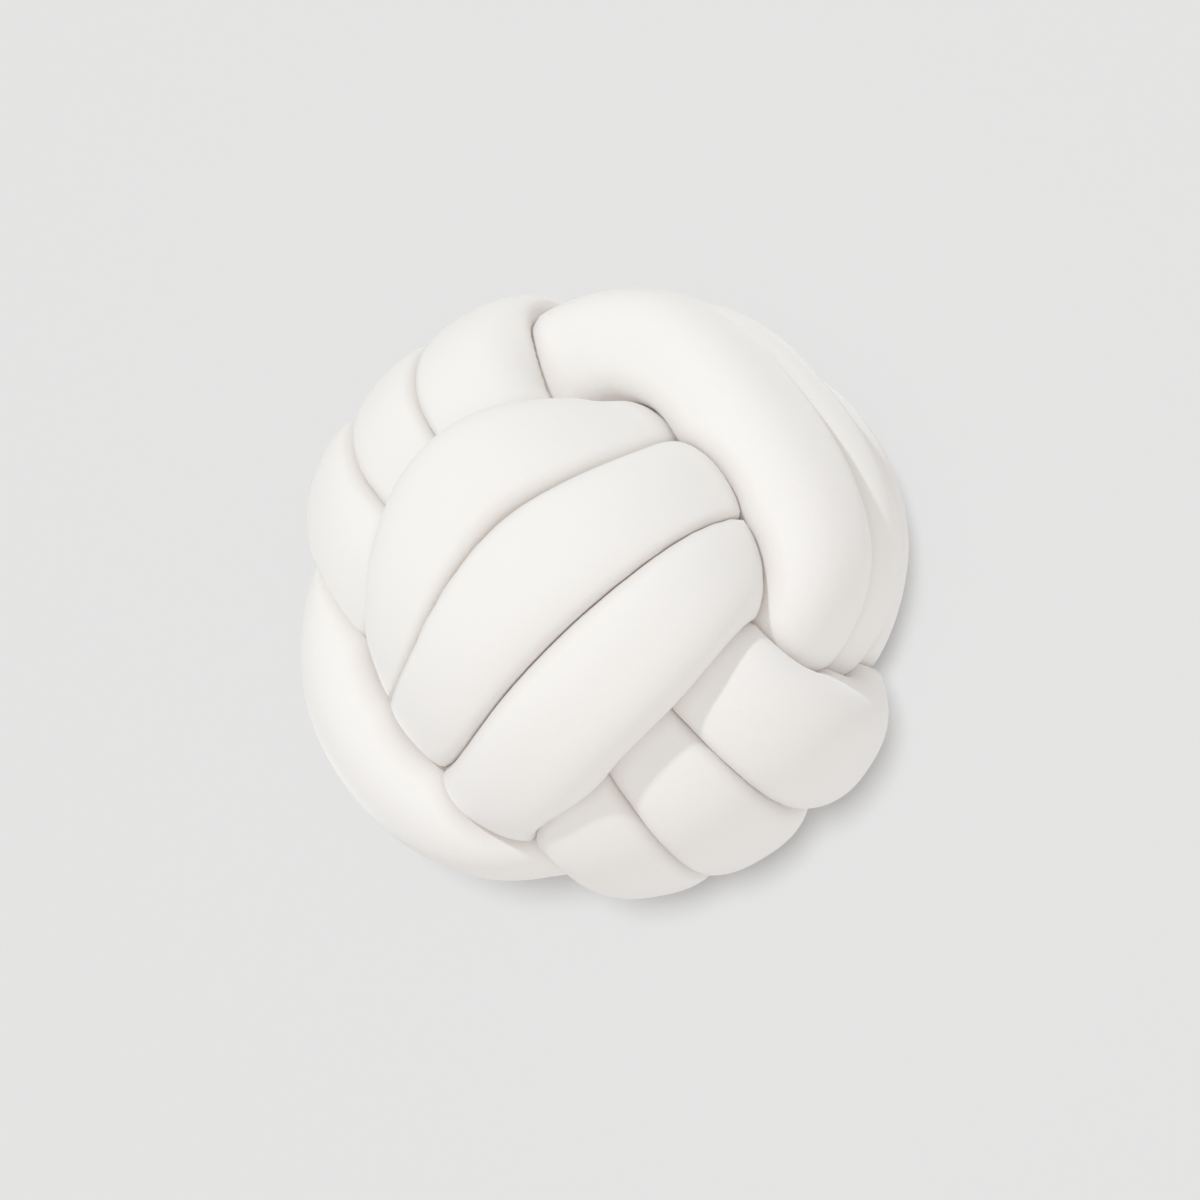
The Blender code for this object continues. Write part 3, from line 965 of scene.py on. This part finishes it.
@dataclass
class Puckers:
    """Small folds where a bend gathers the cloth, made along the surface by a geometry tree.

    Attributes:
        depth: The depth of a fold where the cloth is gathered most, in metres.
        width: The size of the fine noise that the folds follow, in metres.
        waver: The size of the broad noise that bends them, in metres.
        seed: The seed of both noises.
        seed_step: How far the broad noise's seed is from the fine one's.
        waver_share: The share of the broad noise.
        sharpness: How narrow a fold is, across the noise's values.
        trough: The noises' sum along a fold's deepest line, times the sharpness.
    """

    depth: float = 0.0007
    width: float = 0.009
    waver: float = 0.020
    seed: float = 3.0
    seed_step: float = 7.0
    waver_share: float = 0.5
    sharpness: float = 8.0
    trough: float = 6.0

    def tree(self) -> bpy.types.NodeTree:
        """Builds the tree that presses the folds into the cloth.

        Returns:
            The tree, with inputs for the cloth, the folds' sizes, the seed and the material.
        """
        tree = bpy.data.node_groups.new("puckers", "GeometryNodeTree")
        face = tree.interface
        face.new_socket("Cloth", in_out="INPUT", socket_type="NodeSocketGeometry")
        for name in ("Depth", "Width", "Waver", "Seed"):
            face.new_socket(name, in_out="INPUT", socket_type="NodeSocketFloat")
        face.new_socket("Material", in_out="INPUT", socket_type="NodeSocketMaterial")
        face.new_socket("Cloth", in_out="OUTPUT", socket_type="NodeSocketGeometry")
        nodes = NodeBuilder(tree)
        given = tree.nodes.new("NodeGroupInput")
        cloth, depth, width, waver, seed, material = (
            Value(nodes, given.outputs[name])
            for name in ("Cloth", "Depth", "Width", "Waver", "Seed", "Material")
        )
        place = nodes.node("GeometryNodeInputPosition")
        squeeze = nodes.node(
            "GeometryNodeInputNamedAttribute", {"data_type": "FLOAT"}, {"Name": "squeeze"}
        )
        fine, broad = (
            nodes.node(
                "ShaderNodeTexNoise",
                {"noise_dimensions": "4D"},
                {"Vector": place, "W": start, "Scale": 1.0 / size, "Detail": 1.0},
                "Fac",
            )
            for start, size in ((seed, width), (seed + self.seed_step, waver))
        )
        folds = (fine + self.waver_share * broad) * self.sharpness
        press = (1.0 - abs(folds - self.trough)).at_least(0.0)
        inward = press * squeeze * depth * -1.0
        normal = nodes.node("GeometryNodeInputNormal")
        offset = nodes.node(
            "ShaderNodeVectorMath", {"operation": "SCALE"}, {"Vector": normal, "Scale": inward}
        )
        moved = nodes.node("GeometryNodeSetPosition", sockets={"Geometry": cloth, "Offset": offset})
        real = nodes.node("GeometryNodeRealizeInstances", sockets={"Geometry": moved})
        dressed = nodes.node(
            "GeometryNodeSetMaterial", sockets={"Geometry": real, "Material": material}
        )
        end = tree.nodes.new("NodeGroupOutput")
        tree.links.new(dressed.socket, end.inputs["Cloth"])
        return tree

    def press(self, cloth: bpy.types.Object, material: bpy.types.Material) -> None:
        """Runs the tree on the cloth and keeps the result as its mesh.

        Args:
            cloth: The tube.
            material: What the tree dresses it with.
        """
        tree = self.tree()
        modifier = cloth.modifiers.new("puckers", "NODES")
        modifier.node_group = tree
        identifiers = {
            item.name: item.identifier
            for item in tree.interface.items_tree
            if item.in_out == "INPUT"
        }
        sizes = {"Depth": self.depth, "Width": self.width, "Waver": self.waver}
        for name, value in {**sizes, "Seed": self.seed, "Material": material}.items():
            modifier[identifiers[name]] = value
        depsgraph = bpy.context.evaluated_depsgraph_get()
        pressed = bpy.data.meshes.new_from_object(cloth.evaluated_get(depsgraph))
        cloth.modifiers.remove(modifier)
        plain = cloth.data
        mesh_name = plain.name
        cloth.data = pressed
        bpy.data.meshes.remove(plain)
        pressed.name = mesh_name
        pressed.shade_smooth()


@dataclass
class Cushion:
    """The whole cushion: its tube, the puckers in it and its cloth."""

    tube: StuffedTube = field(default_factory=StuffedTube)
    puckers: Puckers = field(default_factory=Puckers)
    cloth: BrushedKnit = field(default_factory=BrushedKnit)
    fill: float = 0.9

    def build(self) -> bpy.types.Object:
        """Makes the cushion and tells the frame what it stands for.

        Returns:
            The tube's object.
        """
        tube = self.tube.build()
        self.puckers.press(tube, self.cloth.material())
        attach(tube, "root")
        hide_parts("knotted_tube")
        LOG.info("%s: %d faces", tube.name, len(tube.data.polygons))
        return tube


@dataclass
class PhotoView:
    """The camera, a little to one side of straight above, and the picture's axes.

    Attributes:
        lean_x: About how far the camera leans from straight above to +X, in degrees.
        lean_y: How far it leans towards -Y.
        roll: How far the picture is turned about the view, in degrees.
        distance: How far the camera is from the ball's middle, in metres.
        ball_width: The ball's width in metres.
        ball_pixels: Its width in the photo.
        ball_x: Its middle there, from the left.
        ball_y: Its middle there, from the top.
        sensor: The sensor's width in millimetres.
    """

    lean_x: float = 9.0
    lean_y: float = 12.3
    roll: float = 39.0
    distance: float = 1.9
    ball_width: float = 0.300
    ball_pixels: float = 617.0
    ball_x: float = 605.5
    ball_y: float = 595.0
    sensor: float = 36.0

    def axes(self) -> Matrix:
        """The picture's right, up and towards-the-camera directions, as columns."""
        lean_x, lean_y, roll = (math.radians(a) for a in (self.lean_x, self.lean_y, self.roll))
        towards = Vector((math.sin(lean_x), -math.sin(lean_y), 1.0)).normalized()
        level_x = Vector((1.0, 0.0, 0.0))
        level_x = (level_x - towards * level_x.dot(towards)).normalized()
        level_y = towards.cross(level_x)
        right = level_x * math.cos(roll) - level_y * math.sin(roll)
        up = level_x * math.sin(roll) + level_y * math.cos(roll)
        return Matrix((right, up, towards)).transposed()

    def build(self, middle: Vector) -> bpy.types.Object:
        """Sets up the camera.

        Args:
            middle: The middle of the ball, in metres.

        Returns:
            The camera.
        """
        lens = bpy.data.cameras.new("photo_view")
        lens.sensor_width = self.sensor
        picture_width = self.ball_width * PICTURE_PIXELS / self.ball_pixels
        lens.lens = self.sensor * self.distance / picture_width
        lens.shift_x = (PICTURE_PIXELS / 2 - self.ball_x) / PICTURE_PIXELS
        lens.shift_y = (self.ball_y - PICTURE_PIXELS / 2) / PICTURE_PIXELS
        camera = bpy.data.objects.new("photo_view", lens)
        bpy.context.scene.collection.objects.link(camera)
        axes = self.axes()
        camera.matrix_world = Matrix.Translation(
            middle + axes @ Vector((0, 0, self.distance))
        ) @ axes.to_4x4()
        bpy.context.scene.camera = camera
        LOG.info("camera set")
        return camera


class Lamp(NamedTuple):
    """A distant light.

    Attributes:
        source: Where it comes from, along the picture's right, up and towards the camera.
        colour: Its colour.
        strength: Its strength in watts a square metre.
        angle: How wide it looks, in degrees, which softens its shadows.
    """

    source: Direction
    colour: Colour
    strength: float
    angle: float


@dataclass
class Studio:
    """A plain pale floor under soft light.

    The key comes from the picture's upper left and the wide, weaker fill from below it, and
    both fall on the cushion alone. The floor has its own soft light from nearly the camera's
    side, so the shadow on it is short. The floor is wide enough to fill a view from 10 degrees
    up. The lift is the view's gamma, which brightens the middle tones above 1.
    """

    floor_size: float = 60.0
    floor_colour: Colour = (0.512, 0.52, 0.528)
    world_colour: Colour = (1.0, 0.935, 0.875)
    world_strength: float = 0.46
    key: Lamp = Lamp((-0.46, 0.50, 0.74), (0.95, 0.985, 1.0), 1.48, 3.0)
    fill: Lamp = Lamp((0.20, -0.60, 0.77), (1.0, 0.98, 0.96), 0.55, 60.0)
    floor_light: Lamp = Lamp((-0.10, 0.10, 1.0), (1.0, 1.0, 1.0), 2.6, 9.0)
    lift: float = 1.7

    def floor(self) -> bpy.types.Object:
        """Makes the floor, which isn't part of the object."""
        half = self.floor_size / 2
        mesh = bpy.data.meshes.new("floor")
        corners = [(-half, -half, 0), (half, -half, 0), (half, half, 0), (-half, half, 0)]
        mesh.from_pydata(corners, [], [(0, 1, 2, 3)])
        material = bpy.data.materials.new("pale_floor")
        material.use_nodes = True
        shader = material.node_tree.nodes["Principled BSDF"]
        shader.inputs["Base Color"].default_value = (*self.floor_colour, 1.0)
        shader.inputs["Roughness"].default_value = 1.0
        shader.inputs["Specular IOR Level"].default_value = 0.0
        mesh.materials.append(material)
        floor = bpy.data.objects.new("floor", mesh)
        bpy.context.scene.collection.objects.link(floor)
        return floor

    def distant_light(
        self, name: str, lamp: Lamp, axes: Matrix, lit: bpy.types.Object
    ) -> bpy.types.Object:
        """Adds a distant light that falls on one object.

        Args:
            name: The light's name.
            lamp: Its settings.
            axes: The picture's axes, from the camera.
            lit: The object that it falls on.

        Returns:
            The light.
        """
        light = bpy.data.lights.new(name, "SUN")
        light.energy = lamp.strength
        light.color = lamp.colour
        light.angle = math.radians(lamp.angle)
        made = bpy.data.objects.new(name, light)
        bpy.context.scene.collection.objects.link(made)
        made.rotation_euler = (axes @ Vector(lamp.source)).to_track_quat("Z", "Y").to_euler()
        receivers = bpy.data.collections.new(name + "_falls_on")
        receivers.objects.link(lit)
        made.light_linking.receiver_collection = receivers
        return made

    def build(self, cushion: bpy.types.Object, axes: Matrix) -> None:
        """Builds the floor, the lights and the world.

        Args:
            cushion: What the key and the fill fall on.
            axes: The picture's axes, from the camera.
        """
        floor = self.floor()
        self.distant_light("key", self.key, axes, cushion)
        self.distant_light("fill", self.fill, axes, cushion)
        self.distant_light("floor_light", self.floor_light, axes, floor)
        world = bpy.data.worlds.new("studio")
        world.use_nodes = True
        background = world.node_tree.nodes["Background"]
        background.inputs["Color"].default_value = (*self.world_colour, 1.0)
        background.inputs["Strength"].default_value = self.world_strength
        scene = bpy.context.scene
        scene.world = world
        scene.view_settings.view_transform = "Standard"
        scene.view_settings.gamma = self.lift
        LOG.info("studio lit")


def main() -> None:
    """Builds the cushion, the camera and the studio."""
    logging.basicConfig(level=logging.INFO, format="%(name)s: %(message)s")
    cushion = Cushion()
    tube = cushion.build()
    view = PhotoView()
    view.build(cushion.tube.middle)
    Studio().build(tube, view.axes())


if __name__ == "__main__":
    main()
